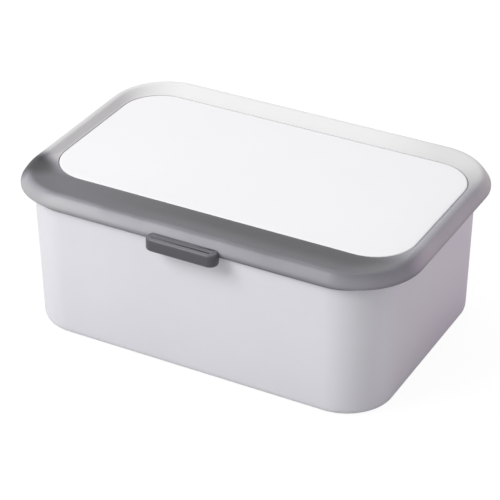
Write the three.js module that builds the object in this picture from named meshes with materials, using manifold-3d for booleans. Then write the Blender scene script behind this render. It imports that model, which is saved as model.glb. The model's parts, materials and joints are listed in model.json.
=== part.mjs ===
// Wet wipes dispenser: a refillable tub with a hinged, sealed lid and a weighted plate inside.
// Millimetres, +Z up, front towards -Y, length along X. The dispenser stands on z = 0,
// and the origin is under the middle of its whole box.
import * as THREE from "three";
import { mergeVertices } from "three/addons/utils/BufferGeometryUtils.js";
import Module from "manifold-3d";

const wasm = await Module();
wasm.setup();

// Overall fits
const GAP = 0.3;                 // clearance between pieces that touch
const CORNER_STEPS = 10;         // flats in each quarter-round corner
const ROUND_STEPS = 24;          // flats round a pin or a pad
const SMALLEST_CORNER = 0.5;
const END_FLAT = 0.1;            // keeps a fully rounded end from closing to a line
const FACET_SHARE = 0.3;         // share of a rounding at which its middle facet edge lies
const WELD = 1e-4;               // points closer than this are one point
const BORE_OVERRUN = 2;          // a boring bar is longer than its bore by this

// Tub
const TUB_LENGTH = 205;
const TUB_WIDTH = 142;
const TUB_CORNER = 28;
const TUB_DRAFT = 1.6;           // how far each wall leans in towards the base
const TUB_HEIGHT = 75.5;
const TUB_WALL = 2;
const TUB_FLOOR = 2.6;
const BASE_ROUND = 4;            // rounded edge under the walls
const BASE_FACETS = 3;
const BEND_FACETS = 2;           // in the rounded corner inside it
const SMALLEST_BEND = 1;
const BRIM_WIDTH = 3.6;          // thicker edge that the seal closes on
const BRIM_DEPTH = 5;
const RIB_HEIGHT = 2.4;          // ribs on the floor, which the plate rests on
const RIB_WIDTH = 3;
const RIB_LENGTH = 90;
const RIB_SPACING = 112;         // between the middles of the first and the last rib
const RIB_COUNT = 2;

// Feet
const FOOT_RADIUS = 6;
const FOOT_PROUD = 0.8;
const FOOT_SUNK = 1.2;
const FOOT_INSET = 26;           // from the tub's sides to a foot's centre

// Lid rim
const LIP_SIDE = 9.5;            // overhang of the lip past the tub, at the sides
const LIP_FRONT = 3.5;
const LIP_REAR = 3;
const LIP_CORNER = 35;
const LIP_EDGE = 1.2;            // thickness of the lip's edge
const RIM_RISE = 6.7;            // crest of the rim above the lip's lower edge
const RIM_SLOPE = 5;             // how far the crest lies inside the lip's edge
const RIM_BENDS = [[0.35, 0.45], [0.7, 0.85]];  // shares of the slope and of the rise
const CREST_WIDTH = 1.8;
const CREST_SAG = 0.3;           // how far the crest falls towards the dish
const LIP_LEAN = 0.2;            // how far the lip's edge leans in
const LIP_BEVEL = 0.4;           // under the lip's edge
const RECESS_EDGE = 0.6;         // bevel round the panel's recess
const RECESS_RISE = 0.2;
const LIP_LIFT = 0.1;            // lower edge of the lip above the web's underside
const SKIRT_THICKNESS = 1.2;     // wall under the lip that reaches down outside the brim
const SKIRT_DROP = 2.2;          // how far it hangs below the web
const CHANNEL_DEPTH = 2.2;       // hollow under the lip, above its lower edge
const CHANNEL_SIDES = [0.7, 0.3];  // its two upper edges, as shares of the way from lip to skirt
const WEB_THICKNESS = 1;         // flat part of the lid that carries the panel
const WEB_LEDGE = 7;             // how far the web reaches under the panel

// Panel
const PANEL_SIDE_MARGIN = 10.7;  // from the lip's edge to the panel, at each side
const PANEL_FRONT_MARGIN = 29.1;
const PANEL_REAR_MARGIN = 15.8;
const PANEL_CORNER = 22.4;
const PANEL_THICKNESS = 1.7;
const PANEL_EDGE = 0.9;          // rounding of its upper edge

// Thumb tab
const TAB_WIDTH = 40;
const TAB_REACH = 6;             // how far it stands out past the lip
const TAB_TOP_DROP = 1.6;        // top of the tab below the crest's outer slope
const TAB_HEIGHT = 7;
const TAB_ROUND = 2.6;
const TAB_BEVEL = 1;             // under the tab

// Liner and seal
const SEAL_WIDTH = 3.2;
const SEAL_THICKNESS = 1;
const SEAL_BEVEL = 0.25;
const LINER_THICKNESS = 1.2;
const PLUG_DEPTH = 4.6;          // how far the liner dips into the tub
const PLUG_INSET = 4.2;          // room between the plug and the tub's brim
const PLUG_CORNER = 18;
const PLUG_BEVEL = 0.6;

// Hinge
const HINGE_INSET = 40.5;        // from the tub's sides to the middle of each hinge
const HINGE_BEHIND = 5.4;        // pivot behind the tub's rear wall
const HINGE_BELOW = 7;           // pivot below the tub's brim
const BARREL_RADIUS = 3.4;
const PIN_RADIUS = 1.2;
const KNUCKLE_WIDTH = 14;        // the lid's knuckle
const ARM_CLEARANCE = 0.7;       // lid's arm behind the tub's rear wall
const ARM_TAPER = 0.4;           // how much the arm narrows above the barrel
const ARM_HEEL = 1;              // where the arm's front face meets the barrel, below the barrel's top
const ARM_JOIN = 0.7;            // where the arm joins the rim, as a share of its slope and rise
const EAR_WIDTH = 4;             // the tub's ears beside it
const EAR_DROP = 9;              // how far the ears' webs run down the wall

// Weighted plate
const PLATE_CLEARANCE = 7;       // round the plate, inside the brim
const PLATE_CORNER = 22;
const PLATE_HEIGHT = 8;
const PLATE_WALL = 1.8;
const PLATE_SKIN = 1.8;          // bottom and cap thickness
const PLATE_BEVEL = 1;           // under the tray
const CAP_BEVEL = 0.8;
const SLOT_LENGTH = 74;
const SLOT_WIDTH = 26;
const GROMMET_WALL = 2.4;
const GROMMET_FLANGE = 3;
const GROMMET_FLANGE_THICKNESS = 1.2;
const GROMMET_BEVEL = 0.5;
const GROMMET_MOUTH = 0.8;       // bevel into the sleeve
const WEIGHT_LENGTH = 96;
const WEIGHT_WIDTH = 14;
const WEIGHT_THICKNESS = 3.4;
const WEIGHT_INSET = 30;         // from the plate's sides to the middle of each bar

// Levels and lines that follow from the sizes above
const tubBase = FOOT_PROUD;
const brimTop = tubBase + TUB_HEIGHT;
const floorTop = tubBase + TUB_FLOOR;
const sealBase = brimTop + GAP;
const webBase = sealBase + SEAL_THICKNESS + GAP;
const webTop = webBase + WEB_THICKNESS;
const lipBase = webBase + LIP_LIFT;
const skirtBase = webBase - SKIRT_DROP;
const crestTop = lipBase + RIM_RISE;
const panelBase = webTop + GAP;
const panelTop = panelBase + PANEL_THICKNESS;
const tubFront = -TUB_WIDTH / 2;
const tubRear = TUB_WIDTH / 2;
const lipFront = tubFront - LIP_FRONT;
const lipRear = tubRear + LIP_REAR;
const lipSide = TUB_LENGTH / 2 + LIP_SIDE;
const pivotY = tubRear + HINGE_BEHIND;
const pivotZ = brimTop - HINGE_BELOW;
const hingeX = TUB_LENGTH / 2 - HINGE_INSET;
const plateSide = TUB_LENGTH / 2 - BRIM_WIDTH - PLATE_CLEARANCE;
const plateDepth = TUB_WIDTH / 2 - BRIM_WIDTH - PLATE_CLEARANCE;
const plateBase = floorTop + RIB_HEIGHT + GAP;
const plateTop = plateBase + PLATE_HEIGHT;
const hingeReach = KNUCKLE_WIDTH / 2 + GAP + EAR_WIDTH;
const boxCentreY = (lipFront - TAB_REACH + pivotY + BARREL_RADIUS) / 2;

// A rounded rectangle at one height, given by its sides, its corner radius and its level.
function ring(side, front, rear, corner, z) {
  return { side, front, rear, corner: Math.max(corner, SMALLEST_CORNER), z };
}

// The same outline moved inwards by a distance, at a new level.
function inset(outline, distance, z) {
  const { side, front, rear, corner } = outline;
  return ring(side - distance, front + distance, rear - distance, corner - distance, z);
}

// An outline between two others, at a new level.
function between(a, b, share, z) {
  const mix = (key) => a[key] + (b[key] - a[key]) * share;
  return ring(mix("side"), mix("front"), mix("rear"), mix("corner"), z);
}

// Points of a ring, counter-clockwise seen from above.
function ringPoints({ side, front, rear, corner, z }) {
  const centres = [
    [side - corner, rear - corner],
    [-side + corner, rear - corner],
    [-side + corner, front + corner],
    [side - corner, front + corner],
  ];
  const points = [];
  centres.forEach(([x, y], quarter) => {
    for (let step = 0; step <= CORNER_STEPS; step++) {
      const angle = (quarter + step / CORNER_STEPS) * Math.PI / 2;
      points.push([x + corner * Math.cos(angle), y + corner * Math.sin(angle), z]);
    }
  });
  return points;
}

// A closed skin over a stack of rings. The rings run up the outside and, for a hollow piece,
// down the inside. A looped stack joins its last ring to its first, any other stack is capped.
function stack(rings, looped = false) {
  const loops = rings.map(ringPoints);
  const count = loops[0].length;
  const positions = loops.flat(2);
  const index = [];
  const last = looped ? loops.length : loops.length - 1;
  for (let level = 0; level < last; level++) {
    const low = level * count;
    const high = ((level + 1) % loops.length) * count;
    for (let i = 0; i < count; i++) {
      const j = (i + 1) % count;
      index.push(low + i, low + j, high + j, low + i, high + j, high + i);
    }
  }
  if (!looped) {
    const top = (loops.length - 1) * count;
    for (let i = 1; i < count - 1; i++) {
      index.push(0, i + 1, i);
      index.push(top, top + i, top + i + 1);
    }
  }
  const geometry = new THREE.BufferGeometry();
  geometry.setAttribute("position", new THREE.Float32BufferAttribute(positions, 3));
  geometry.setIndex(index);
  return geometry;
}

// Booleans: a closed three.js geometry as a solid, and back.
function solid(geometry) {
  const bare = geometry.clone();
  bare.deleteAttribute("normal");
  bare.deleteAttribute("uv");
  const merged = mergeVertices(bare, WELD);
  const mesh = new wasm.Mesh({
    numProp: 3,
    vertProperties: new Float32Array(merged.attributes.position.array),
    triVerts: new Uint32Array(merged.index.array),
  });
  return new wasm.Manifold(mesh);
}

function geometryOf(manifold) {
  const mesh = manifold.getMesh();
  const geometry = new THREE.BufferGeometry();
  geometry.setAttribute("position", new THREE.Float32BufferAttribute(mesh.vertProperties, 3));
  geometry.setIndex(Array.from(mesh.triVerts));
  return geometry;
}

function block(width, depth, height, x, y, z) {
  return new THREE.BoxGeometry(width, depth, height).translate(x, y, z);
}

// A round bar along X.
function bar(radius, length, x, y, z) {
  const cylinder = new THREE.CylinderGeometry(radius, radius, length, ROUND_STEPS);
  return cylinder.rotateZ(Math.PI / 2).translate(x, y, z);
}

// An outline drawn across Y and Z, given its width along X.
function slab(points, width, x) {
  const shape = new THREE.Shape(points.map(([y, z]) => new THREE.Vector2(y, z)));
  const body = new THREE.ExtrudeGeometry(shape, { depth: width, bevelEnabled: false });
  const turn = new THREE.Matrix4().set(0, 0, 1, x - width / 2, 1, 0, 0, 0, 0, 1, 0, 0, 0, 0, 0, 1);
  return body.applyMatrix4(turn);
}

function hingeMiddles() {
  return [-hingeX, hingeX];
}

function footPlaces() {
  const x = TUB_LENGTH / 2 - FOOT_INSET;
  const y = TUB_WIDTH / 2 - FOOT_INSET;
  return { front_left: [-x, -y], front_right: [x, -y], rear_left: [-x, y], rear_right: [x, y] };
}

// The tub's outer outline at its brim.
function tubOutline(z) {
  return ring(TUB_LENGTH / 2, tubFront, tubRear, TUB_CORNER, z);
}

// Box with leaning walls, a rounded bottom edge and a thicker brim, open at the top.
function tubShell() {
  const outer = tubOutline(brimTop);
  const lean = (z) => TUB_DRAFT * (brimTop - z) / TUB_HEIGHT;
  const rings = [];
  for (let step = 0; step <= BASE_FACETS; step++) {
    const angle = step / BASE_FACETS * Math.PI / 2;
    const z = tubBase + BASE_ROUND * (1 - Math.sin(angle));
    rings.unshift(inset(outer, lean(z) + BASE_ROUND * (1 - Math.cos(angle)), z));
  }
  rings.push(outer);
  rings.push(inset(outer, BRIM_WIDTH, brimTop));
  rings.push(inset(outer, BRIM_WIDTH, brimTop - BRIM_DEPTH));
  const under = brimTop - BRIM_DEPTH - BRIM_WIDTH + TUB_WALL;
  rings.push(inset(outer, TUB_WALL + lean(under), under));
  const bend = Math.max(BASE_ROUND - TUB_WALL, SMALLEST_BEND);
  for (let step = 0; step <= BEND_FACETS; step++) {
    const angle = step / BEND_FACETS * Math.PI / 2;
    const z = floorTop + bend * (1 - Math.sin(angle));
    rings.push(inset(outer, TUB_WALL + lean(z) + bend * (1 - Math.cos(angle)), z));
  }
  return stack(rings);
}

// Two ears beside each lid knuckle, each a round end on a web that runs down the rear wall.
function tubEars() {
  const wall = tubRear - TUB_WALL / 2;
  const ears = [];
  for (const middle of hingeMiddles()) {
    for (const direction of [-1, 1]) {
      const x = middle + direction * (hingeReach - EAR_WIDTH / 2);
      const web = slab([
        [wall, pivotZ - BARREL_RADIUS - EAR_DROP],
        [pivotY, pivotZ - BARREL_RADIUS],
        [pivotY, pivotZ + BARREL_RADIUS],
        [wall, pivotZ + BARREL_RADIUS],
      ], EAR_WIDTH, x);
      ears.push(solid(web).add(solid(bar(BARREL_RADIUS, EAR_WIDTH, x, pivotY, pivotZ))));
    }
  }
  return ears;
}

function pinBore(middle) {
  return solid(bar(PIN_RADIUS + GAP, 2 * hingeReach + BORE_OVERRUN, middle, pivotY, pivotZ));
}

function tubGeometry() {
  let tub = solid(tubShell());
  for (const ear of tubEars()) {
    tub = tub.add(ear);
  }
  for (const middle of hingeMiddles()) {
    tub = tub.subtract(pinBore(middle));
  }
  for (let i = 0; i < RIB_COUNT; i++) {
    const x = (i / (RIB_COUNT - 1) - 0.5) * RIB_SPACING;
    const height = RIB_HEIGHT + TUB_FLOOR / 2;
    tub = tub.add(solid(block(RIB_WIDTH, RIB_LENGTH, height, x, 0, floorTop + RIB_HEIGHT - height / 2)));
  }
  for (const [x, y] of Object.values(footPlaces())) {
    const depth = FOOT_SUNK + GAP;
    const pocket = new THREE.CylinderGeometry(FOOT_RADIUS + GAP, FOOT_RADIUS + GAP, 2 * depth, ROUND_STEPS);
    tub = tub.subtract(solid(pocket.rotateX(Math.PI / 2).translate(x, y, tubBase)));
  }
  return geometryOf(tub);
}

function footGeometry([x, y]) {
  const edge = FOOT_PROUD / 2;
  const top = FOOT_PROUD + FOOT_SUNK;
  const profile = [[0, 0], [FOOT_RADIUS - edge, 0], [FOOT_RADIUS, edge], [FOOT_RADIUS, top], [0, top]];
  const pad = new THREE.LatheGeometry(profile.map(([r, z]) => new THREE.Vector2(r, z)), ROUND_STEPS);
  return pad.rotateX(Math.PI / 2).translate(x, y, 0);
}

// Outlines of the lid, from the lip inwards.
function lipOutline(z) {
  return ring(lipSide, lipFront, lipRear, LIP_CORNER, z);
}

function panelOutline(z) {
  const side = lipSide - PANEL_SIDE_MARGIN;
  return ring(side, lipFront + PANEL_FRONT_MARGIN, lipRear - PANEL_REAR_MARGIN, PANEL_CORNER, z);
}

// Rim: the lip flares up and inwards to a crest, then dips to the panel's recess.
function rimRing() {
  const lip = lipOutline(lipBase);
  const recess = inset(panelOutline(panelTop), -GAP, panelTop);
  const rise = RIM_RISE - LIP_EDGE;
  const lipInner = inset(lip, LIP_EDGE, lipBase);
  const brimOuter = inset(tubOutline(webBase), -GAP, webBase);
  const skirtOuter = inset(brimOuter, -SKIRT_THICKNESS, skirtBase);
  const channelTop = lipBase + CHANNEL_DEPTH;
  const shoulder = lipBase + LIP_EDGE;
  const bends = RIM_BENDS.map(([along, up]) => inset(lip, RIM_SLOPE * along, shoulder + rise * up));
  const channel = CHANNEL_SIDES.map((share) => between(lipInner, skirtOuter, share, channelTop));
  return stack([
    inset(lip, LIP_BEVEL, lipBase),
    inset(lip, 0, lipBase + LIP_BEVEL),
    inset(lip, LIP_LEAN, shoulder),
    ...bends,
    inset(lip, RIM_SLOPE, crestTop),
    inset(lip, RIM_SLOPE + CREST_WIDTH, crestTop - CREST_SAG),
    inset(recess, -RECESS_EDGE, panelTop + RECESS_RISE),
    recess,
    inset(recess, 0, webTop),
    inset(recess, WEB_LEDGE, webTop),
    inset(recess, WEB_LEDGE, webBase),
    brimOuter,
    inset(brimOuter, 0, skirtBase),
    inset(skirtOuter, 0, skirtBase),
    ...channel,
    lipInner,
  ], true);
}

// Thumb tab: a rounded block under the middle of the front lip.
function tabBlock() {
  const top = crestTop - TAB_TOP_DROP - TAB_ROUND;
  const base = top - TAB_HEIGHT;
  const front = lipFront - TAB_REACH;
  const rear = tubFront - GAP - SKIRT_THICKNESS / 2;
  const outline = ring(TAB_WIDTH / 2, front, rear, (rear - front) / 2 - END_FLAT, base);
  return stack([
    inset(outline, TAB_BEVEL, base),
    inset(outline, 0, base + TAB_BEVEL),
    inset(outline, 0, top - TAB_ROUND),
    inset(outline, TAB_ROUND * FACET_SHARE, top - TAB_ROUND * FACET_SHARE),
    inset(outline, TAB_ROUND, top),
  ]);
}

// Knuckle: a barrel on an arm that runs up behind the tub into the rear of the rim.
function lidKnuckle(middle) {
  const armFront = tubRear + ARM_CLEARANCE;
  const arm = slab([
    [pivotY, pivotZ - BARREL_RADIUS],
    [pivotY + BARREL_RADIUS, pivotZ],
    [pivotY + BARREL_RADIUS - ARM_TAPER, webBase - BARREL_RADIUS],
    [lipRear - RIM_SLOPE * ARM_JOIN, lipBase + RIM_RISE * ARM_JOIN],
    [lipRear - RIM_SLOPE, webTop],
    [armFront, webBase],
    [armFront, pivotZ + BARREL_RADIUS - ARM_HEEL],
    [pivotY - BARREL_RADIUS, pivotZ],
  ], KNUCKLE_WIDTH, middle);
  return solid(arm).add(solid(bar(BARREL_RADIUS, KNUCKLE_WIDTH, middle, pivotY, pivotZ)));
}

function frameGeometry() {
  let frame = solid(rimRing()).add(solid(tabBlock()));
  for (const middle of hingeMiddles()) {
    frame = frame.add(lidKnuckle(middle)).subtract(pinBore(middle));
  }
  return geometryOf(frame);
}

function pinGeometry(middle) {
  return bar(PIN_RADIUS, 2 * hingeReach, middle, pivotY, pivotZ);
}

function panelGeometry() {
  const outline = panelOutline(panelBase);
  return stack([
    outline,
    inset(outline, 0, panelTop - PANEL_EDGE),
    inset(outline, PANEL_EDGE * FACET_SHARE, panelTop - PANEL_EDGE * FACET_SHARE),
    inset(outline, PANEL_EDGE, panelTop),
  ]);
}

// Inner edge of the brim, which the plug and the seal follow.
function brimInner(z) {
  return inset(tubOutline(z), BRIM_WIDTH, z);
}

// Liner: a flat cover whose edge dips into the tub as a shallow plug.
function linerGeometry() {
  const flangeTop = webBase - GAP;
  const flangeBase = flangeTop - LINER_THICKNESS + GAP;
  const flange = inset(brimInner(flangeTop), -BRIM_WIDTH / 2 + SEAL_WIDTH / 2 + GAP, flangeTop);
  const plug = inset(brimInner(flangeTop), PLUG_INSET, flangeTop);
  const plugBase = brimTop - PLUG_DEPTH;
  plug.corner = PLUG_CORNER;
  return stack([
    inset(plug, PLUG_BEVEL, plugBase),
    inset(plug, 0, plugBase + PLUG_BEVEL),
    inset(plug, 0, flangeBase),
    inset(flange, 0, flangeBase),
    inset(flange, 0, flangeTop),
    inset(plug, LINER_THICKNESS, flangeTop),
    inset(plug, LINER_THICKNESS + PLUG_BEVEL, plugBase + LINER_THICKNESS),
  ]);
}

function sealGeometry() {
  const middle = inset(tubOutline(sealBase), BRIM_WIDTH / 2, sealBase);
  const outer = inset(middle, -SEAL_WIDTH / 2, sealBase);
  const inner = inset(middle, SEAL_WIDTH / 2, sealBase);
  const top = sealBase + SEAL_THICKNESS;
  return stack([
    inset(outer, SEAL_BEVEL, sealBase),
    inset(outer, 0, sealBase + SEAL_BEVEL),
    inset(outer, 0, top),
    inset(inner, 0, top),
    inset(inner, 0, sealBase + SEAL_BEVEL),
    inset(inner, -SEAL_BEVEL, sealBase),
  ], true);
}

function plateOutline(z) {
  return ring(plateSide, -plateDepth, plateDepth, PLATE_CORNER, z);
}

function slotOutline(z) {
  return ring(SLOT_LENGTH / 2, -SLOT_WIDTH / 2, SLOT_WIDTH / 2, SLOT_WIDTH / 2 - END_FLAT, z);
}

// Tray: bottom, outer wall and a collar round the oval opening.
function plateGeometry() {
  const capBase = plateTop - PLATE_SKIN;
  const outer = plateOutline(plateBase);
  const slot = slotOutline(plateBase);
  return stack([
    inset(outer, PLATE_BEVEL, plateBase),
    inset(outer, 0, plateBase + PLATE_BEVEL),
    inset(outer, 0, capBase - GAP),
    inset(outer, PLATE_WALL, capBase - GAP),
    inset(outer, PLATE_WALL, plateBase + PLATE_SKIN),
    inset(slot, -PLATE_WALL, plateBase + PLATE_SKIN),
    inset(slot, -PLATE_WALL, capBase - GAP),
    inset(slot, 0, capBase - GAP),
    inset(slot, 0, plateBase),
  ], true);
}

// Cap: the flat cover of the tray, open over the slot.
function plateCapGeometry() {
  const base = plateTop - PLATE_SKIN;
  const outer = plateOutline(base);
  const slot = slotOutline(base);
  return stack([
    inset(outer, 0, base),
    inset(outer, 0, plateTop - CAP_BEVEL),
    inset(outer, CAP_BEVEL, plateTop),
    inset(slot, 0, plateTop),
    inset(slot, 0, base),
  ], true);
}

function weightGeometry(side) {
  const base = plateBase + PLATE_SKIN + GAP;
  const x = side * (plateSide - WEIGHT_INSET);
  return block(WEIGHT_WIDTH, WEIGHT_LENGTH, WEIGHT_THICKNESS, x, 0, base + WEIGHT_THICKNESS / 2);
}

// Grommet: a soft sleeve through the slot with a flange on the cap.
function grommetGeometry() {
  const outer = inset(slotOutline(plateBase), GAP, plateBase);
  const flangeBase = plateTop + GAP;
  const top = flangeBase + GROMMET_FLANGE_THICKNESS;
  const flange = inset(outer, -GAP - GROMMET_FLANGE, flangeBase);
  return stack([
    inset(outer, 0, plateBase),
    inset(outer, 0, flangeBase),
    inset(flange, 0, flangeBase),
    inset(flange, 0, top - GROMMET_BEVEL),
    inset(flange, GROMMET_BEVEL, top),
    inset(outer, GROMMET_WALL - GROMMET_MOUTH, top),
    inset(outer, GROMMET_WALL, top - GROMMET_MOUTH),
    inset(outer, GROMMET_WALL, plateBase),
  ], true);
}

function coloured(color, roughness, metalness) {
  return new THREE.MeshStandardMaterial({ color, roughness, metalness });
}

const whitePlastic = () => coloured(0xe9e8ec, 0.38, 0);
const greyPlastic = () => coloured(0x8b8a90, 0.35, 0);
const softRubber = () => coloured(0xb9b9be, 0.7, 0);
const darkRubber = () => coloured(0x6d6c71, 0.8, 0);
const steel = () => coloured(0xb8babd, 0.35, 1);

const dispenser = new THREE.Group();

function place(name, geometry, material) {
  const mesh = new THREE.Mesh(geometry, material);
  mesh.name = name;
  mesh.position.y = -boxCentreY;
  dispenser.add(mesh);
}

place("tub", tubGeometry(), whitePlastic());
place("lid_frame", frameGeometry(), greyPlastic());
place("lid_panel", panelGeometry(), whitePlastic());
place("lid_liner", linerGeometry(), whitePlastic());
place("lid_seal", sealGeometry(), softRubber());
place("hinge_pin_left", pinGeometry(-hingeX), steel());
place("hinge_pin_right", pinGeometry(hingeX), steel());
place("press_plate", plateGeometry(), whitePlastic());
place("press_plate_cap", plateCapGeometry(), whitePlastic());
place("plate_weight_left", weightGeometry(-1), steel());
place("plate_weight_right", weightGeometry(1), steel());
place("plate_grommet", grommetGeometry(), softRubber());
for (const [corner, spot] of Object.entries(footPlaces())) {
  place(`foot_${corner}`, footGeometry(spot), darkRubber());
}

export default dispenser;
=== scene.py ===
import json
import math
import bpy
import numpy as np
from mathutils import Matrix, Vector


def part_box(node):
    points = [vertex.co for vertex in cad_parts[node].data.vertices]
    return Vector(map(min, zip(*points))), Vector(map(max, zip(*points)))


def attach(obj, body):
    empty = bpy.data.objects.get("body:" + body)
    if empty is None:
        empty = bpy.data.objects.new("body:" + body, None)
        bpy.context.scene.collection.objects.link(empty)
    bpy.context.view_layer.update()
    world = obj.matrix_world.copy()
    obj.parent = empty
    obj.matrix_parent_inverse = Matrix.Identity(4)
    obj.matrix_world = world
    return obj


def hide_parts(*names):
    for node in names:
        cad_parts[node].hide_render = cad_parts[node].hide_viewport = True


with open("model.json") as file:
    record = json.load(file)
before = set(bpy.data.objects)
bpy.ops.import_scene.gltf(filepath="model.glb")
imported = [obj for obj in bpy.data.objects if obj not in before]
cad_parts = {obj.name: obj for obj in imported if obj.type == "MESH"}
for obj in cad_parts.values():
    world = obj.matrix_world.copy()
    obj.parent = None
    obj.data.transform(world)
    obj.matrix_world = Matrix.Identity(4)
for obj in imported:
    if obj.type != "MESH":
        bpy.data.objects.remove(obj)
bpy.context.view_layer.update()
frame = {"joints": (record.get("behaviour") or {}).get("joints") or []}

# Camera
# The box stands turned by 28 degrees and is seen from 31 degrees above, through a long lens.
# The lens, the distance and the small shift come from the outlines measured in the photograph.
mm = 0.001
photo_side_px = 500
focal_px = 2054.8
principal_px = (255.8, 234.1)
sensor_mm = 36
camera_azimuth = math.radians(28.23)
camera_elevation = math.radians(30.87)
camera_distance = 1078.2 * mm
target_height = 45.8 * mm
seen_depths = (10 * mm, 20)
seal_low, seal_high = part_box("lid_seal")
middle_y = (seal_low[1] + seal_high[1]) / 2
camera_target = Vector((0, middle_y, target_height))

camera_back = Vector((
    math.sin(camera_azimuth) * math.cos(camera_elevation),
    -math.cos(camera_azimuth) * math.cos(camera_elevation),
    math.sin(camera_elevation),
))
camera_data = bpy.data.cameras.new("camera")
camera_data.sensor_width = sensor_mm
camera_data.lens = focal_px / photo_side_px * sensor_mm
camera_data.shift_x = -(principal_px[0] / photo_side_px - 0.5)
camera_data.shift_y = principal_px[1] / photo_side_px - 0.5
camera_data.clip_start, camera_data.clip_end = seen_depths
camera = bpy.data.objects.new("camera", camera_data)
camera.location = camera_target + camera_back * camera_distance
camera.rotation_mode = "QUATERNION"
camera.rotation_quaternion = (-camera_back).to_track_quat("-Z", "Y")
bpy.context.collection.objects.link(camera)
bpy.context.scene.camera = camera

# Tub
# An open box of white polypropylene, injection moulded in one shot with large round corners,
# a rounded bottom edge, a thicker brim for the seal and two ribs on its floor.
tub_low, tub_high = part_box("tub")
corner_steps = 28
bend_steps = 6
longest_reach = 0.48
shortest_leg = 1e-9

tub_side = 102.5 * mm
tub_half_width = 71 * mm
tub_corner = 28 * mm
tub_draft = 1.6 * mm
tub_wall = 2 * mm
tub_floor = 2.6 * mm
tub_bottom_round = 4 * mm
brim_width = 3.6 * mm
brim_depth = 5 * mm
brim_edge = 0.5 * mm
cap_margin = 0.6 * mm
step_round = 1 * mm
floor_round = 3 * mm
rib_size = (3 * mm, 90 * mm, 2.4 * mm)
rib_places = (-56 * mm, 56 * mm)
rib_sunk = 0.5 * mm
rib_edge = 0.6 * mm
block_corner_share = 0.6
block_edge_reach = 1.5


def station(side, front, rear, corner, level):
    """One step of a profile: the half length, front line, rear line, corner radius and height of a
    rounded outline."""
    return np.array([side, front, rear, corner, level])


def moved_in(base, distance, level):
    """The same outline with all its sides moved inwards by a distance, at a new height."""
    side, front, rear, corner = base[:4]
    return station(side - distance, front + distance, rear - distance, corner - distance, level)


def softened(stations, radii, closed):
    """Rounds each bend B of a profile with the parabola (1-t)^2 A + 2t(1-t) B + t^2 C, where A and C
    lie on its two legs, one radius away from B, or the longest reach, a share of the leg, if that
    is nearer."""
    bends = np.array(stations)
    radii = np.broadcast_to(np.asarray(radii, float), len(bends))
    before = np.roll(bends, 1, 0)
    after = np.roll(bends, -1, 0)

    def reach(other):
        run = np.abs(other - bends)[:, :3].mean(1)
        length = np.hypot(run, (other - bends)[:, 4])
        share = np.minimum(radii / np.maximum(length, shortest_leg), longest_reach)
        return bends + (other - bends) * share[:, None]

    start, stop = reach(before), reach(after)
    t = np.linspace(0, 1, bend_steps)[None, :, None]
    arcs = (1 - t) ** 2 * start[:, None] + 2 * t * (1 - t) * bends[:, None] + t ** 2 * stop[:, None]
    if closed:
        return arcs.reshape(-1, 5)
    return np.vstack([bends[:1], arcs[1:-1].reshape(-1, 5), bends[-1:]])


def rounded_outlines(profile):
    """A grid of points, one row for each station: in each quarter the point is the corner's centre
    plus its radius times (cos a, sin a), and the centre lies one radius inside both sides."""
    quarter = np.repeat(np.arange(4), corner_steps + 1)
    angle = (quarter + np.tile(np.linspace(0, 1, corner_steps + 1), 4)) * np.pi / 2
    sign = np.where((quarter == 0) | (quarter == 3), 1.0, -1.0)
    side, front, rear, corner, level = (column[:, None] for column in profile.T)
    x = sign * (side - corner) + corner * np.cos(angle)
    y = np.where(quarter < 2, rear - corner, front + corner) + corner * np.sin(angle)
    return np.stack([x, y + middle_y, np.broadcast_to(level, x.shape)], -1)


def grid_faces(rows, columns, rows_closed):
    """The four-sided faces between neighbouring rows and columns of a grid. Its columns close on
    themselves, and its rows only if told so."""
    row = np.arange(rows if rows_closed else rows - 1)[:, None]
    column = np.arange(columns)[None, :]
    low, high = row * columns, (row + 1) % rows * columns
    beside = (column + 1) % columns
    faces = np.stack([low + column, low + beside, high + beside, high + column], -1)
    return faces.reshape(-1, 4).tolist()


def mesh_piece(name, shells):
    """A piece made of one or more shells, each given by its points and its faces."""
    points = np.vstack([shell[0] for shell in shells])
    offsets = np.cumsum([0] + [len(shell[0]) for shell in shells])
    faces = [[corner + int(offset) for corner in face]
             for shell, offset in zip(shells, offsets) for face in shell[1]]
    mesh = bpy.data.meshes.new(name)
    mesh.from_pydata(points.tolist(), [], faces)
    mesh.polygons.foreach_set("use_smooth", np.ones(len(faces), bool))
    mesh.update()
    piece = bpy.data.objects.new(name, mesh)
    bpy.context.collection.objects.link(piece)
    return piece


def lofted(profile, closed=False):
    """A shell over rounded outlines. An open profile is closed at each end by a fan of faces round
    the middle of its outline."""
    grid = rounded_outlines(profile)
    rows, columns = grid.shape[:2]
    faces = grid_faces(rows, columns, closed)
    points = grid.reshape(-1, 3)
    if closed:
        return points, faces
    first_middle, last_middle = len(points), len(points) + 1
    last_row = (rows - 1) * columns
    for column in range(columns):
        beside = (column + 1) % columns
        faces.append([first_middle, beside, column])
        faces.append([last_middle, last_row + column, last_row + beside])
    return np.vstack([points, grid[0].mean(0), grid[-1].mean(0)]), faces


def rounded_block(low, high, edge):
    """A block with rounded upright edges and softened upper and lower edges, between two corners."""
    centre = (low + high) / 2
    half = (high - low) / 2
    base = station(half[0], -half[1], half[1], min(half[0], half[1]) * block_corner_share, low[2])
    profile = softened([
        moved_in(base, edge * block_edge_reach, low[2]),
        base,
        moved_in(base, 0, high[2]),
        moved_in(base, edge * block_edge_reach, high[2]),
    ], edge, False)
    points, faces = lofted(profile)
    return points + np.array([centre[0], centre[1] - middle_y, 0]), faces


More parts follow.
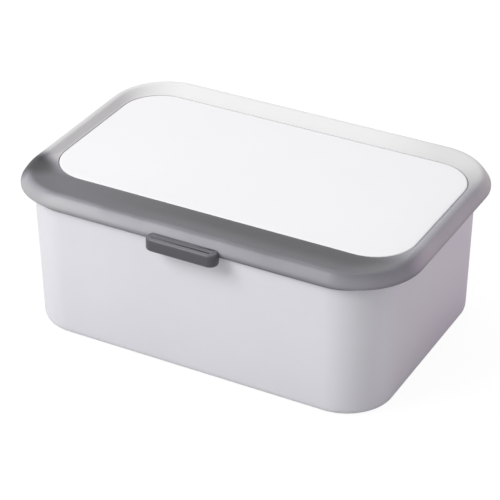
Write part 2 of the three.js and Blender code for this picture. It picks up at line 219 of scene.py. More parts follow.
tub_base = tub_low[2]
brim_top = tub_high[2]
floor_top = tub_base + tub_floor
tub_outline = station(tub_side, -tub_half_width, tub_half_width, tub_corner, brim_top)
tub_foot = moved_in(tub_outline, tub_draft, tub_base)
step_level = brim_top - brim_depth - brim_width + tub_wall
tub_profile = softened([
    moved_in(tub_foot, tub_bottom_round + cap_margin, tub_base),
    tub_foot,
    tub_outline,
    moved_in(tub_outline, brim_width, brim_top),
    moved_in(tub_outline, brim_width, brim_top - brim_depth),
    moved_in(tub_outline, tub_wall, step_level),
    moved_in(tub_foot, tub_wall, floor_top),
    moved_in(tub_foot, tub_wall + tub_bottom_round + cap_margin, floor_top),
], [0, tub_bottom_round, brim_edge, brim_edge, step_round, step_round, floor_round, 0], False)
rib_centre = np.array([0, middle_y, floor_top])
ribs = [
    rounded_block(
        rib_centre + [x - rib_size[0] / 2, -rib_size[1] / 2, -rib_sunk],
        rib_centre + [x + rib_size[0] / 2, rib_size[1] / 2, rib_size[2]], rib_edge)
    for x in rib_places
]
tub = mesh_piece("tub_shell", [lofted(tub_profile)] + ribs)


class Signal:
    """A socket of a material's node tree. Arithmetic on it adds Math nodes, and node() adds any other."""

    def __init__(self, tree, socket=None):
        self.tree = tree
        self.socket = socket

    def node(self, kind, settings=None, values=None, output=0):
        """Adds a node, sets its settings first, then its sockets, and returns one of its outputs."""
        made = self.tree.nodes.new(kind)
        for key, value in (settings or {}).items():
            setattr(made, key, value)
        for key, value in (values or {}).items():
            if isinstance(value, Signal):
                self.tree.links.new(value.socket, made.inputs[key])
            else:
                made.inputs[key].default_value = value
        return Signal(self.tree, made.outputs[output] if len(made.outputs) else None)

    def maths(self, operation, first, second):
        return self.node("ShaderNodeMath", {"operation": operation}, {0: first, 1: second})

    def __add__(self, other):
        return self.maths("ADD", self, other)

    def __radd__(self, other):
        return self.maths("ADD", other, self)

    def __sub__(self, other):
        return self.maths("SUBTRACT", self, other)

    def __rsub__(self, other):
        return self.maths("SUBTRACT", other, self)

    def __mul__(self, other):
        return self.maths("MULTIPLY", self, other)

    def __rmul__(self, other):
        return self.maths("MULTIPLY", other, self)

    def smooth(self, low, high):
        """0 below low, 1 above high, and a smooth step between them."""
        return self.node("ShaderNodeMapRange", {"interpolation_type": "SMOOTHSTEP"},
                         {"Value": self, "From Min": low, "From Max": high})


def blank_material(name):
    material = bpy.data.materials.new(name)
    material.use_nodes = True
    material.node_tree.nodes.clear()
    return material, Signal(material.node_tree)


def object_place(sheet):
    return sheet.node("ShaderNodeTexCoord", output="Object")


def noise(sheet, place, scale, detail=2.0, stretch=(1, 1, 1)):
    """Noise with so many swellings to the metre, squeezed along each axis by the stretch."""
    placed = sheet.node("ShaderNodeMapping", {}, {"Vector": place, "Scale": stretch})
    return sheet.node("ShaderNodeTexNoise", {}, {"Vector": placed, "Scale": scale, "Detail": detail})


def blended(sheet, share, first, second):
    """A colour between two others."""
    return sheet.node("ShaderNodeMix", {"data_type": "RGBA"}, {0: share, 6: first, 7: second}, output=2)


grain_share = 0.35


def grain_on_peel(grain, peel):
    """A height made of a share of fine grain and, for the rest, orange peel."""
    return grain * grain_share + peel * (1 - grain_share)


def finish_surface(sheet, colour, roughness, height, bump_depth, constants):
    """The shader of a piece: what varies feeds colour, roughness and bump, and the rest are constants."""
    bump = sheet.node("ShaderNodeBump", {}, {"Height": height, "Distance": bump_depth, "Strength": 1.0})
    values = {"Base Color": colour, "Roughness": roughness, "Normal": bump}
    values.update(constants)
    surface = sheet.node("ShaderNodeBsdfPrincipled", {}, values)
    sheet.node("ShaderNodeOutputMaterial", {}, {"Surface": surface})


def moulded_plastic(name, colour, cloud, roughness, grain_per_metre, grain_depth, gloss):
    """Moulded plastic: a fine spark-eroded grain over a slow orange peel, faint cloudiness in the
    colour and a roughness that wanders with the mould's polish."""
    clouds_per_metre, peel_per_metre = 14, 160
    cloud_band = (0.35, 0.65)
    cloud_roughness, peel_roughness = 0.08, 0.04
    material, sheet = blank_material(name)
    place = object_place(sheet)
    slow = noise(sheet, place, clouds_per_metre, 3)
    peel = noise(sheet, place, peel_per_metre)
    grain = noise(sheet, place, grain_per_metre)
    darker = tuple(channel * (1 - cloud) for channel in colour[:3]) + (1,)
    shade = blended(sheet, slow.smooth(*cloud_band), darker, colour)
    rough = roughness + cloud_roughness * (slow - 0.5) + peel_roughness * (peel - 0.5)
    finish_surface(sheet, shade, rough, grain_on_peel(grain, peel), grain_depth, gloss)
    return material


white_gloss = {"Specular IOR Level": 0.5, "Coat Weight": 0.15, "Coat Roughness": 0.25}
tub_white = moulded_plastic(
    "tub_white", colour=(0.76, 0.755, 0.80, 1), cloud=0.02, roughness=0.36,
    grain_per_metre=2600, grain_depth=0.03 * mm, gloss=white_gloss)
tub.data.materials.append(tub_white)
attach(tub, "tub_body")
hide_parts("tub")

# Hinge ears of the tub
# Two pairs of ears stand out behind the rear wall, moulded with the tub. Each ear is a round
# eye on a web that runs down into the wall, and the steel pin passes through the pair.
hinge = next(joint for joint in frame["joints"] if joint["name"] == "lid_hinge")
pivot_y, pivot_z = hinge["pos_m"][1], hinge["pos_m"][2]
hinge_middles = (-62 * mm, 62 * mm)
barrel_radius = 3.4 * mm
bore_radius = 1.5 * mm
knuckle_width = 14 * mm
ear_width = 4 * mm
ear_gap = 0.3 * mm
ear_drop = 9 * mm
edge_round = 0.35 * mm
edge_steps = 4
eye_points = 160
outline_bend_steps = 12
fine_steps = 20
longest_leg_share = 0.49
ear_sunk = 1 * mm
ear_waist = 0.6
ear_rounds = (0.5 * mm, 3 * mm, 3.2 * mm, 0.5 * mm)


def eye_plate(outline, bore, width, middle):
    """A plate across X with a bore: its outline and the bore's circle are joined by rings of faces,
    and the outline is drawn in by a quarter round at both faces. Points run at equal angles round
    the bore."""
    angle = np.linspace(0, 2 * np.pi, len(outline), endpoint=False)
    centre = np.array([pivot_y, pivot_z])
    circle = centre + bore * np.stack([np.cos(angle), np.sin(angle)], 1)
    turn = np.linspace(0, np.pi / 2, edge_steps)
    shrink = edge_round * (1 - np.sin(turn))
    depth = width / 2 - edge_round * (1 - np.cos(turn))
    outward = outline - centre
    outward = outward / np.linalg.norm(outward, axis=1)[:, None]
    rings = [(circle, -width / 2)]
    rings += [(outline - outward * s, -d) for s, d in zip(shrink, depth)]
    rings += [(outline - outward * s, d) for s, d in zip(shrink[::-1], depth[::-1])]
    rings += [(circle, width / 2)]
    grid = np.stack([np.column_stack([np.full(len(ring), middle + x), ring]) for ring, x in rings])
    return grid.reshape(-1, 3), grid_faces(len(rings), len(outline), True)


def drawn_outline(corners, radii):
    """An outline round the pivot, sampled at equal angles seen from the pivot. Each corner B is
    rounded by the parabola (1-t)^2 A + 2t(1-t) B + t^2 C between its two legs."""
    corners = np.array(corners)
    before, after = np.roll(corners, 1, 0), np.roll(corners, -1, 0)
    t = np.linspace(0, 1, outline_bend_steps)[None, :, None]

    def reach(other):
        length = np.linalg.norm(other - corners, axis=1)
        share = np.minimum(np.array(radii) / length, longest_leg_share)
        return corners + (other - corners) * share[:, None]

    start, stop = reach(before), reach(after)
    arcs = (1 - t) ** 2 * start[:, None] + 2 * t * (1 - t) * corners[:, None] + t ** 2 * stop[:, None]
    path = arcs.reshape(-1, 2)
    fine = np.concatenate([
        np.linspace(a, b, fine_steps, endpoint=False) for a, b in zip(path, np.roll(path, -1, 0))
    ])
    away = fine - [pivot_y, pivot_z]
    turn = np.unwrap(np.arctan2(away[:, 1], away[:, 0]))
    order = np.argsort(turn % (2 * np.pi))
    turn, away = (turn % (2 * np.pi))[order], away[order]
    wanted = np.linspace(0, 2 * np.pi, eye_points, endpoint=False)
    distance = np.interp(wanted, turn, np.linalg.norm(away, axis=1), period=2 * np.pi)
    return [pivot_y, pivot_z] + distance[:, None] * np.stack([np.cos(wanted), np.sin(wanted)], 1)


wall_y = middle_y + tub_half_width - ear_sunk
ear_outline = drawn_outline([
    (wall_y, pivot_z - barrel_radius - ear_drop),
    (pivot_y + barrel_radius, pivot_z - barrel_radius * ear_waist),
    (pivot_y + barrel_radius, pivot_z + barrel_radius),
    (wall_y, pivot_z + barrel_radius),
], ear_rounds)
ear_offset = knuckle_width / 2 + ear_gap + ear_width / 2
ears = mesh_piece("tub_hinge_ears", [
    eye_plate(ear_outline, bore_radius, ear_width, middle + direction * ear_offset)
    for middle in hinge_middles for direction in (-1, 1)
])
ears.data.materials.append(tub_white)
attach(ears, "tub_body")

# Lid rim
# One grey moulding: a flared lip that overhangs the tub, a soft crest, and a dished slope down
# to the recess that holds the panel. It is hollow below, and its web closes on the seal.
lip_side = 112 * mm
lip_front = -74.5 * mm
lip_rear = 74 * mm
lip_corner = 35 * mm
lip_edge = 1.2 * mm
rim_rise = 6.7 * mm
rim_slope = 5 * mm
crest_width = 1.8 * mm
lip_lift = 0.1 * mm
skirt_thickness = 1.2 * mm
skirt_drop = 2.2 * mm
channel_depth = 2.2 * mm
web_thickness = 1 * mm
web_ledge = 7 * mm
seal_thickness = 1 * mm
gap = 0.3 * mm
lip_lean = 0.1 * mm
rim_bends = ((0.35, 0.45), (0.70, 0.85))
recess_edge = 0.6 * mm
recess_rise = 0.2 * mm
channel_sides = (0.7, 0.3)
upper_rounds = (0.4 * mm, 0.6 * mm, 2 * mm, 1.6 * mm, 1.6 * mm, 2.5 * mm, 0.4 * mm, 0.3 * mm)
recess_rounds = (0.1 * mm, 0.3 * mm, 0.3 * mm, 0.1 * mm)
under_rounds = (0.3 * mm, 0.3 * mm, 0.5 * mm, 0.5 * mm, 0.4 * mm)
panel_low, panel_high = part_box("lid_panel")

web_base = brim_top + 2 * gap + seal_thickness
web_top = web_base + web_thickness
lip_base = web_base + lip_lift
skirt_base = web_base - skirt_drop
crest_top = lip_base + rim_rise
panel_top = panel_high[2]
panel_corner = 22.4 * mm
panel_outline = station(
    panel_high[0], panel_low[1] - middle_y, panel_high[1] - middle_y, panel_corner, panel_top)
lip = station(lip_side, lip_front, lip_rear, lip_corner, lip_base)
recess = moved_in(panel_outline, -gap, panel_top)
rise = rim_rise - lip_edge
brim_outer = moved_in(tub_outline, -gap, web_base)
lip_inner = moved_in(lip, lip_edge, lip_base)
skirt_outer = moved_in(brim_outer, -skirt_thickness, skirt_base)
channel_top = lip_base + channel_depth


def part_way(first, second, share, level):
    """An outline that lies a share of the way from one to another, at its own height."""
    mixed = first + (second - first) * share
    mixed[4] = level
    return mixed


rim_profile = softened([
    moved_in(lip, 0, lip_base),
    moved_in(lip, lip_lean, lip_base + lip_edge),
    *(moved_in(lip, rim_slope * inwards, lip_base + lip_edge + rise * upwards)
      for inwards, upwards in rim_bends),
    moved_in(lip, rim_slope, crest_top),
    moved_in(lip, rim_slope + crest_width, crest_top - gap),
    moved_in(recess, -recess_edge, panel_top + recess_rise),
    recess,
    moved_in(recess, 0, web_top),
    moved_in(recess, web_ledge, web_top),
    moved_in(recess, web_ledge, web_base),
    brim_outer,
    moved_in(brim_outer, 0, skirt_base),
    skirt_outer,
    *(part_way(lip_inner, skirt_outer, share, channel_top) for share in channel_sides),
    lip_inner,
], upper_rounds + recess_rounds + under_rounds, True)
rim = mesh_piece("lid_rim", [lofted(rim_profile, True)])


def parted(sheet, place):
    """The X, Y and Z of a place as three signals."""
    parts = sheet.node("ShaderNodeSeparateXYZ", {}, {"Vector": place}).socket.node
    return [Signal(sheet.tree, parts.outputs[axis]) for axis in "XYZ"]


def from_lip_edge(sheet, across, along):
    """How far a place lies inside the lip's edge: corner radius - |(beyond x, beyond y)|, where each
    beyond is the distance past the middle of the corner's circle and never less than 0."""
    outward = sheet.maths("ABSOLUTE", across, 0.0)
    beyond_x = sheet.maths("MAXIMUM", outward - (lip_side - lip_corner), 0.0)
    beyond_front = sheet.maths("MAXIMUM", (middle_y + lip_front + lip_corner) - along, 0.0)
    beyond_rear = sheet.maths("MAXIMUM", along - (middle_y + lip_rear - lip_corner), 0.0)
    beyond_y = beyond_front + beyond_rear
    return lip_corner - sheet.maths("SQRT", beyond_x * beyond_x + beyond_y * beyond_y, 0.0)


def between_tones(share, first, second):
    """first + share * (second - first)"""
    return first + share * (second - first)


def smoke_plastic(name, tone_at):
    """Frosted smoke-grey plastic with a faint violet cast where it is dark. Its tone, which carries
    painted light and shade, comes from tone_at(sheet, place, cloud), and a fine grain lies over a slow
    orange peel."""
    clouds_per_metre, peel_per_metre, grain_per_metre = 30, 160, 2200
    pale_from, pale_to = 0.2, 0.5
    green_cast, blue_cast = 0.98, 1.10
    roughness, cloud_roughness, peel_roughness = 0.40, 0.08, 0.05
    material, sheet = blank_material(name)
    place = object_place(sheet)
    cloud = noise(sheet, place, clouds_per_metre, 3)
    peel = noise(sheet, place, peel_per_metre)
    grain = noise(sheet, place, grain_per_metre)
    tone = tone_at(sheet, place, cloud)
    pale = tone.smooth(pale_from, pale_to)
    green = tone * between_tones(pale, green_cast, 1.0)
    blue = tone * between_tones(pale, blue_cast, 1.0)
    shade = sheet.node("ShaderNodeCombineColor", {}, {"Red": tone, "Green": green, "Blue": blue})
    rough = roughness + cloud_roughness * (cloud - 0.5) + peel_roughness * (peel - 0.5)
    gloss = {"Specular IOR Level": 0.36, "Coat Weight": 0.08, "Coat Roughness": 0.25}
    finish_surface(sheet, shade, rough, grain_on_peel(grain, peel), 0.03 * mm, gloss)
    return material


# Tones of the rim's painted light and shade: painted shade on the front and in the dish, darker towards
# the right, painted light on the lip, the left side and the rear.
front_painted_shade_tones = (0.11, 0.045)
lip_painted_light_tones = (0.37, 0.25)
dish_painted_shade_tone = 0.10
left_side_painted_light_tones = (0.59, 0.27)
left_lip_painted_light_tone = 0.40
rear_painted_light_tones = (0.70, 0.57)
painted_shade_spot_tone = 0.028
tone_wander = 0.004
front_run = (-105 * mm, 25 * mm)
lip_run = (0.8 * mm, 7 * mm)
dish_run = (7 * mm, 20 * mm)
side_run = (-94 * mm, -70 * mm)
side_lip_run = (0.5 * mm, 7 * mm)
side_start = (-50 * mm, -26 * mm)
rear_start = (30 * mm, 64 * mm)
rear_run = (30 * mm, 100 * mm)
painted_shade_spot_run = (5 * mm, 16 * mm)
# Centre of the painted spot of shade at the rim's left front corner.
painted_shade_spot_centre = (-105 * mm, -47 * mm, crest_top - 1 * mm)


def rim_painted_light_and_shade(sheet, place, cloud):
    """Painted light and shade: painted shade darkens the broad front of the dish, more towards the right,
    painted light makes the flared lip paler, and the left side and the rear are painted lighter still. It
    is darkest at a painted spot of shade at the left front corner."""
    across, along = parted(sheet, place)[:2]
    wander = tone_wander * (cloud - 0.5)
    inward = from_lip_edge(sheet, across, along) + wander
    to_right = across.smooth(*front_run)
    front_painted_shade = between_tones(to_right, *front_painted_shade_tones)
    dish = between_tones(inward.smooth(*dish_run), dish_painted_shade_tone, front_painted_shade)
    edge = between_tones(to_right, *lip_painted_light_tones)
    front = between_tones(inward.smooth(*lip_run), edge, dish)
    from_left = (across + wander).smooth(*side_run)
    side = between_tones(from_left, *left_side_painted_light_tones)
    side = between_tones(inward.smooth(*side_lip_run), left_lip_painted_light_tone, side)
    towards_rear = (along + wander).smooth(*side_start)
    far_rear = (along + wander).smooth(*rear_start)
    tone = between_tones(towards_rear, front, side)
    # Painted shade: a dark spot round the left front corner of the rim.
    painted_shade_spot_distance = sheet.node("ShaderNodeVectorMath", {"operation": "DISTANCE"}, {0: place, 1: painted_shade_spot_centre}, "Value")
    tone = between_tones(painted_shade_spot_distance.smooth(*painted_shade_spot_run), painted_shade_spot_tone, tone)
    rear = between_tones((across + wander).smooth(*rear_run), *rear_painted_light_tones)
    return between_tones(far_rear, tone, rear)


# The rim's material carries its painted light and shade.
rim_grey = smoke_plastic("rim_grey", rim_painted_light_and_shade)
rim.data.materials.append(rim_grey)
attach(rim, "lid")
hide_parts("lid_frame")

# Thumb tab
# A rounded grip in the middle of the front lip, moulded with the rim, with a shallow hollow
# on top for the thumb.
tab_width = 40 * mm
tab_reach = 6 * mm
tab_height = 7 * mm
tab_round = 2.6 * mm
tab_top_drop = 1.6 * mm
tab_top = crest_top - tab_top_drop - tab_round
tab_base = tab_top - tab_height
tab_rear = -tub_half_width - gap - skirt_thickness / 2
tab_front = lip_front - tab_reach
hollow_depth = 0.9 * mm
hollow_reach = (13 * mm, 4 * mm)
hollow_band = 0.2 * mm
tab_corner_share = 0.98
tab_ring_shares = np.linspace(0.5, 0.96, 8)
tab_under_inset = 2.5 * mm
tab_under_round = 1.2 * mm
# Tones of the tab's painted shade on its front and underneath, and its painted light on top.
tab_painted_shade_and_light_tones = (0.09, 0.115)
tab_wander = 0.001
tab_top_run = (tab_top - 1.4 * mm, tab_top - 0.1 * mm)

tab_half_depth = (tab_rear - tab_front) / 2
tab_outline = station(tab_width / 2, tab_front, tab_rear, tab_half_depth * tab_corner_share, tab_base)
tab_rings = [moved_in(tab_outline, tab_half_depth * share, tab_top) for share in tab_ring_shares]
tab_profile = softened([
    moved_in(tab_outline, tab_under_inset, tab_base),
    tab_outline,
    moved_in(tab_outline, 0, tab_top),
    moved_in(tab_outline, tab_round * 1.2, tab_top),
], [0, tab_under_round, tab_round, 0], False)
tab_points, tab_faces = lofted(np.vstack([tab_profile, tab_rings]))
tab_middle_y = (tab_front + tab_rear) / 2 + middle_y
tab_across = tab_points[:, 0] / hollow_reach[0]
tab_along = (tab_points[:, 1] - tab_middle_y) / hollow_reach[1]
tab_pull = np.exp(-tab_across ** 4 - tab_along ** 2)
tab_points[:, 2] -= hollow_depth * tab_pull * (tab_points[:, 2] > tab_top - hollow_band)
tab = mesh_piece("lid_thumb_tab", [(tab_points, tab_faces)])


def tab_painted_light_and_shade(sheet, place, cloud):
    """Painted light and shade: the tab is painted dark on its front face and underneath, and painted paler
    where its top meets the lip.
    """
    height = parted(sheet, place)[2]
    on_top = (height + tab_wander * (cloud - 0.5)).smooth(*tab_top_run)
    return between_tones(on_top, *tab_painted_shade_and_light_tones)


tab.data.materials.append(smoke_plastic("tab_grey", tab_painted_light_and_shade))
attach(tab, "lid")

# Lid knuckles
# Two arms run down behind the tub from the rear of the rim, moulded with it, and end in the eyes
# that turn on the pins.
arm_clearance = 0.7 * mm
arm_taper = 0.2 * mm
arm_join = 0.7
arm_heel = 1 * mm
eye_overrun = 1.02
eye_flank = 0.5
eye_toe = 0.4
knuckle_rounds = (2 * mm, 2.4 * mm, 2.5 * mm, 0.5 * mm, 0.5 * mm, 0.5 * mm, 1 * mm, 2.5 * mm)
arm_front = middle_y + tub_half_width + arm_clearance
rear_y = lip_rear + middle_y
knuckle_outline = drawn_outline([
    (pivot_y + barrel_radius * eye_toe, pivot_z - barrel_radius * eye_overrun),
    (pivot_y + barrel_radius, pivot_z - barrel_radius * eye_flank),
    (pivot_y + barrel_radius - arm_taper, web_base - barrel_radius),
    (rear_y - rim_slope * arm_join, lip_base + rim_rise * arm_join),
    (rear_y - rim_slope, web_top),
    (arm_front, web_base),
    (arm_front, pivot_z + barrel_radius - arm_heel),
    (pivot_y - barrel_radius * eye_overrun, pivot_z - barrel_radius * eye_flank),
], knuckle_rounds)
knuckles = mesh_piece("lid_knuckles", [
    eye_plate(knuckle_outline, bore_radius, knuckle_width, middle) for middle in hinge_middles
])
# The knuckles take the rim's material, and with it the painted light of the rim's rear.
knuckles.data.materials.append(rim_grey)
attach(knuckles, "lid")

# Lid panel
# A flat white plate with rounded corners, snapped into the rim's recess. Its upper edge is rounded,
# so that a fine dark line shows between it and the rim.
panel_edge = 0.9 * mm
panel_under_inset = 1.2 * mm
panel_under_round = 0.3 * mm
panel_flat_insets = (2 * mm, 4 * mm)
panel_profile = softened([
    moved_in(panel_outline, panel_under_inset, panel_low[2]),
    moved_in(panel_outline, 0, panel_low[2]),
    panel_outline,
    moved_in(panel_outline, panel_flat_insets[0], panel_top),
], [0, panel_under_round, panel_edge, 0], False)
panel_flat = moved_in(panel_outline, panel_flat_insets[1], panel_top)
panel = mesh_piece("lid_top_panel", [lofted(np.vstack([panel_profile, panel_flat]))])
panel_white = moulded_plastic(
    "panel_white", colour=(0.79, 0.79, 0.81, 1), cloud=0.012, roughness=0.38,
    grain_per_metre=2600, grain_depth=0.02 * mm, gloss=white_gloss)
panel.data.materials.append(panel_white)
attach(panel, "lid")
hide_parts("lid_panel")

# Lid liner
# A thin white cover under the panel. Its edge dips into the tub as a shallow plug, and its flange
# carries the seal.
liner_low, liner_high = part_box("lid_liner")
liner_thickness = 1.2 * mm
plug_inset = 4.2 * mm
plug_corner = 18 * mm
plug_bottom_inset = 0.3 * mm
plug_cap_inset = 3 * mm
plug_lean = 0.6 * mm
plug_floor_inset = 4 * mm
liner_rounds = (0, 0.9 * mm, 0.4 * mm, 0.2 * mm, 0.2 * mm, 0.3 * mm, 0.6 * mm, 0)
seal_width = 3.2 * mm
brim_inner = moved_in(tub_outline, brim_width, brim_top)
flange = moved_in(brim_inner, seal_width / 2 + gap - brim_width / 2, liner_high[2])
flange_base = liner_high[2] - liner_thickness + gap
plug = moved_in(brim_inner, plug_inset, flange_base)
plug[3] = plug_corner
liner_profile = softened([
    moved_in(plug, plug_cap_inset, liner_low[2]),
    moved_in(plug, plug_bottom_inset, liner_low[2]),
    plug,
    moved_in(flange, 0, flange_base),
    flange,
    moved_in(plug, liner_thickness, liner_high[2]),
    moved_in(plug, liner_thickness + plug_lean, liner_low[2] + liner_thickness),
    moved_in(plug, liner_thickness + plug_floor_inset, liner_low[2] + liner_thickness),
], liner_rounds, False)
liner = mesh_piece("lid_inner_liner", [lofted(liner_profile)])
matt_white = {"Specular IOR Level": 0.4, "Coat Weight": 0.0}
liner_white = moulded_plastic(
    "liner_white", colour=(0.78, 0.78, 0.80, 1), cloud=0.02, roughness=0.5,
    grain_per_metre=2400, grain_depth=0.05 * mm, gloss=matt_white)
liner.data.materials.append(liner_white)
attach(liner, "lid")
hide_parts("lid_liner")

# Seal
# A soft silicone ring round the liner's flange. Two fine lips run along its underside and close
# on the tub's brim.
seal_middle = moved_in(tub_outline, brim_width / 2, seal_low[2])
seal_outer = moved_in(seal_middle, -seal_width / 2, seal_high[2])
seal_inner = moved_in(seal_middle, seal_width / 2, seal_high[2])
seal_groove = 0.25 * mm
seal_round = 0.25 * mm
seal_lips = ((0.30, 0), (0.42, seal_groove), (0.58, seal_groove), (0.70, 0))
seal_profile = softened([
    seal_outer,
    seal_inner,
    moved_in(seal_inner, 0, seal_low[2]),
    *(part_way(seal_inner, seal_outer, share, seal_low[2] + raised) for share, raised in seal_lips),
    moved_in(seal_outer, 0, seal_low[2]),
], seal_round, True)
seal = mesh_piece("lid_seal_ring", [lofted(seal_profile, True)])


def soft_silicone(name, colour, roughness):
    """Matt moulded silicone or rubber: a dusty sheen, a fine grain and slow clouds in the colour."""
    clouds_per_metre, dust_per_metre = 60, 1500
    cloud_shade, cloud_band = 0.88, (0.3, 0.7)
    dust_roughness = 0.12
    material, sheet = blank_material(name)
    place = object_place(sheet)
    cloud = noise(sheet, place, clouds_per_metre, 4)
    dust = noise(sheet, place, dust_per_metre, 3)
    darker = tuple(channel * cloud_shade for channel in colour[:3]) + (1,)
    shade = blended(sheet, cloud.smooth(*cloud_band), darker, colour)
    rough = roughness + dust_roughness * (dust - 0.5)
    constants = {"Specular IOR Level": 0.35, "Sheen Weight": 0.15, "Sheen Roughness": 0.5}
    finish_surface(sheet, shade, rough, dust, 0.04 * mm, constants)
    return material


seal_soft = soft_silicone("seal_soft", colour=(0.40, 0.40, 0.43, 1), roughness=0.62)
seal.data.materials.append(seal_soft)
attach(seal, "lid")
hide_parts("lid_seal")

# Hinge pins
# Drawn steel pins with chamfered ends, pushed through the tub's ears and the lid's knuckles. They
# stay with the tub when the lid turns on them.
pin_radius = 1.2 * mm
pin_chamfer = 0.3 * mm
turned_steps = 48


def turned(profile, centre, axis):
    """A turned solid: each profile point (radius, place) becomes the circle radius * (cos a, sin a)
    at that place along the axis, and the first and last circles are closed by flat faces."""
    angle = np.linspace(0, 2 * np.pi, turned_steps, endpoint=False)
    radius, place = np.array(profile)[:, :1], np.array(profile)[:, 1:]
    wide, tall = radius * np.cos(angle), radius * np.sin(angle)
    along = np.broadcast_to(place, wide.shape)
    grid = np.stack([along, wide, tall] if axis == "X" else [wide, tall, along], -1) + centre
    rows, columns = wide.shape
    faces = grid_faces(rows, columns, False)
    faces.append(list(range(columns))[::-1])
    faces.append(list(range((rows - 1) * columns, rows * columns)))
    return grid.reshape(-1, 3), faces


def drawn_steel(name):
    """Drawn steel: hair-fine lines along X in roughness and bump, with a faintly uneven tone."""
    lines_per_metre, drawn_out, clouds_per_metre = 900, (0.04, 1, 1), 90
    dull_steel, bright_steel, cloud_band = (0.50, 0.50, 0.52, 1), (0.62, 0.62, 0.64, 1), (0.3, 0.7)
    roughness, line_roughness = 0.38, 0.12
    material, sheet = blank_material(name)
    place = object_place(sheet)
    lines = noise(sheet, place, lines_per_metre, 3, drawn_out)
    tone = noise(sheet, place, clouds_per_metre)
    shade = blended(sheet, tone.smooth(*cloud_band), dull_steel, bright_steel)
    rough = roughness + line_roughness * (lines - 0.5)
    finish_surface(sheet, shade, rough, lines, 0.01 * mm, {"Metallic": 1.0})
    return material


pin_steel = drawn_steel("pin_steel")
for side in ("left", "right"):
    low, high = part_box("hinge_pin_" + side)
    half = (high[0] - low[0]) / 2
    ends = [(pin_radius - pin_chamfer, -half), (pin_radius, pin_chamfer - half),
            (pin_radius, half - pin_chamfer), (pin_radius - pin_chamfer, half)]
    centre = np.array([(low[0] + high[0]) / 2, pivot_y, pivot_z])
    pin = mesh_piece("steel_hinge_pin_" + side, [turned(ends, centre, "X")])
    pin.data.materials.append(pin_steel)
    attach(pin, "tub_body")
    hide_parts("hinge_pin_" + side)

# Weighted plate
# A white tray with a collar round its oval opening, a flat cap over two steel bars, and a soft
# grommet through the opening that holds the next wipe. It lies loose on the wipes.
plate_low, plate_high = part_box("press_plate")
lid_low, lid_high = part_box("press_plate_cap")
grommet_low, grommet_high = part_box("plate_grommet")
plate_corner = 22 * mm
plate_wall = 1.8 * mm
slot_half = (37 * mm, 13 * mm)
slot_end_flat = 0.1 * mm
grommet_wall = 2.4 * mm
grommet_flange = 3 * mm
tray_rounds = (1 * mm, 0.2 * mm, 0.2 * mm, 0.5 * mm, 0.5 * mm, 0.2 * mm, 0.2 * mm, 0.6 * mm)
cap_rounds = (0.2 * mm, 1 * mm, 0.3 * mm, 0.2 * mm)
grommet_rounds = (0.5 * mm, 0.2 * mm, 0.4 * mm, 0.7 * mm, 1 * mm, 0.5 * mm)
weight_edge = 0.4 * mm
plate_half_depth = (plate_high[1] - plate_low[1]) / 2
plate_outline = station(plate_high[0], -plate_half_depth, plate_half_depth, plate_corner, plate_low[2])
slot_outline = station(
    slot_half[0], -slot_half[1], slot_half[1], slot_half[1] - slot_end_flat, plate_low[2])
tray_floor = plate_low[2] + plate_wall
tray_profile = softened([
    plate_outline,
    moved_in(plate_outline, 0, plate_high[2]),
    moved_in(plate_outline, plate_wall, plate_high[2]),
    moved_in(plate_outline, plate_wall, tray_floor),
    moved_in(slot_outline, -plate_wall, tray_floor),
    moved_in(slot_outline, -plate_wall, plate_high[2]),
    moved_in(slot_outline, 0, plate_high[2]),
    slot_outline,
], tray_rounds, True)
tray = mesh_piece("press_plate_tray", [lofted(tray_profile, True)])
cap_profile = softened([
    moved_in(plate_outline, 0, lid_low[2]),
    moved_in(plate_outline, 0, lid_high[2]),
    moved_in(slot_outline, 0, lid_high[2]),
    moved_in(slot_outline, 0, lid_low[2]),
], cap_rounds, True)
cap = mesh_piece("press_plate_cover", [lofted(cap_profile, True)])
sleeve = moved_in(slot_outline, gap, grommet_low[2])
flange_ring = moved_in(sleeve, -gap - grommet_flange, lid_high[2] + gap)
grommet_profile = softened([
    sleeve,
    moved_in(sleeve, 0, flange_ring[4]),
    flange_ring,
    moved_in(flange_ring, 0, grommet_high[2]),
    moved_in(sleeve, grommet_wall, grommet_high[2]),
    moved_in(sleeve, grommet_wall, grommet_low[2]),
], grommet_rounds, True)
grommet = mesh_piece("plate_soft_grommet", [lofted(grommet_profile, True)])
for piece, node, finish, slot_name in (
        (tray, "press_plate", liner_white, "liner_white"),
        (cap, "press_plate_cap", liner_white, "liner_white"),
        (grommet, "plate_grommet", seal_soft, "seal_soft")):
    piece.data.materials.append(finish)
    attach(piece, "plate")
    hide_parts(node)
for side in ("left", "right"):
    node = "plate_weight_" + side
    low, high = (np.array(corner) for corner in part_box(node))
    weight = mesh_piece("steel_weight_" + side, [rounded_block(low, high, weight_edge)])
    weight.data.materials.append(pin_steel)
    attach(weight, "plate")
    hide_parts(node)

# Feet
# Four rubber pads pressed into round pockets under the tub. Each has a shallow round hollow
# underneath and a rounded lower edge.
foot_rubber = soft_silicone("foot_rubber", colour=(0.16, 0.16, 0.17, 1), roughness=0.75)
foot_hollow = 0.15 * mm
foot_hollow_shares = (0.55, 0.62)
foot_edge = 0.4 * mm
foot_edge_bend = 0.1 * mm
foot_top_edge = 0.2 * mm
for corner in ("front_left", "front_right", "rear_left", "rear_right"):
    node = "foot_" + corner
    low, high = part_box(node)
    radius = (high[0] - low[0]) / 2
    height = high[2] - low[2]
    centre = np.array([(low[0] + high[0]) / 2, (low[1] + high[1]) / 2, low[2]])
    pad = mesh_piece("rubber_" + node, [turned([
        (radius * foot_hollow_shares[0], foot_hollow),
        (radius * foot_hollow_shares[1], 0),
        (radius - foot_edge, 0),
        (radius - foot_edge_bend, foot_edge_bend),
        (radius, foot_edge),
        (radius, height - foot_top_edge),
        (radius - foot_top_edge, height),
    ], centre, "Z")])
    pad.data.materials.append(foot_rubber)
    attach(pad, "tub_body")
    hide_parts(node)

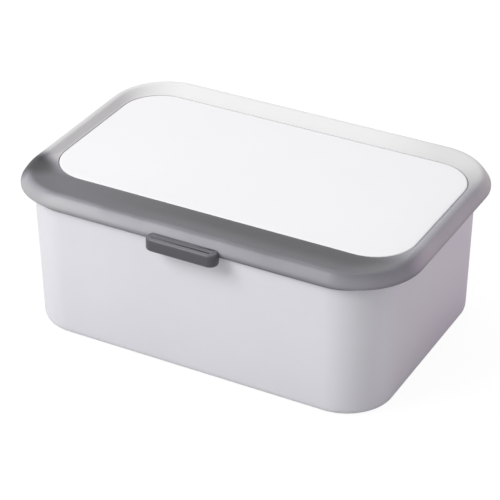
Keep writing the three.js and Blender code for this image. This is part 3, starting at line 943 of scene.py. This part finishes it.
# Stage
# A white floor under an even white surround, with a large lamp at the front left, one overhead and
# two faint violet ones at the right and behind. The floor shows white and keeps a soft shadow.
floor_mesh = bpy.data.meshes.new("floor")
floor_half = 6.0
floor_level = -0.05 * mm
floor_grey = (0.62, 0.62, 0.62, 1)
floor_glow = 1.1
floor_glow_share = 0.85
floor_mesh.from_pydata([
    (-floor_half, -floor_half, floor_level), (floor_half, -floor_half, floor_level),
    (floor_half, floor_half, floor_level), (-floor_half, floor_half, floor_level),
], [], [(0, 1, 2, 3)])
floor = bpy.data.objects.new("floor", floor_mesh)
bpy.context.collection.objects.link(floor)
floor_white, floor_sheet = blank_material("floor_white")
path = floor_sheet.node("ShaderNodeLightPath", output="Is Camera Ray")
plain = floor_sheet.node("ShaderNodeBsdfDiffuse", {}, {"Color": floor_grey})
shown = floor_sheet.node("ShaderNodeEmission", {}, {"Color": (1, 1, 1, 1), "Strength": floor_glow})
mixed = floor_sheet.node("ShaderNodeMixShader", {}, {0: path * floor_glow_share, 1: plain, 2: shown})
floor_sheet.node("ShaderNodeOutputMaterial", {}, {"Surface": mixed})
floor.data.materials.append(floor_white)

world = bpy.data.worlds.new("surround")
bpy.context.scene.world = world
world.use_nodes = True
world.node_tree.nodes.clear()
sky = Signal(world.node_tree)
seen = sky.node("ShaderNodeLightPath", output="Is Camera Ray")
mirrored = sky.node("ShaderNodeLightPath", output="Is Glossy Ray")
through = sky.node("ShaderNodeLightPath", output="Is Transmission Ray")
direct = sky.maths("MINIMUM", seen + mirrored + through, 1.0)
surround_level = 0.43
strength = surround_level + direct * (1 - surround_level)
backdrop = sky.node("ShaderNodeBackground", {}, {"Color": (1, 1, 1, 1), "Strength": strength})
sky.node("ShaderNodeOutputWorld", {}, {"Surface": backdrop})


def soft_lamp(name, place, size, power, colour):
    """A square lamp that faces the middle of the box."""
    data = bpy.data.lights.new(name, "AREA")
    data.size = size
    data.energy = power
    data.color = colour
    lamp = bpy.data.objects.new(name, data)
    lamp.location = place
    lamp.rotation_mode = "QUATERNION"
    lamp.rotation_quaternion = (camera_target - Vector(place)).to_track_quat("-Z", "Y")
    bpy.context.collection.objects.link(lamp)
    return lamp


soft_lamp("key_lamp", place=(-0.9, -1.1, 1.2), size=0.9, power=22, colour=(1, 1, 1))
soft_lamp("top_lamp", place=(-0.5, 0.5, 1.5), size=1.2, power=9, colour=(1, 1, 1))
soft_lamp("side_fill", place=(1.6, 0.1, 0.5), size=0.8, power=0.4, colour=(0.95, 0.9, 1))
rear_fill = soft_lamp("rear_fill", place=(0.42, 0.30, 0.2), size=0.16, power=0.22, colour=(1, 0.5, 0.92))
rear_fill.visible_camera = False

scene = bpy.context.scene
scene.view_settings.view_transform = "Standard"
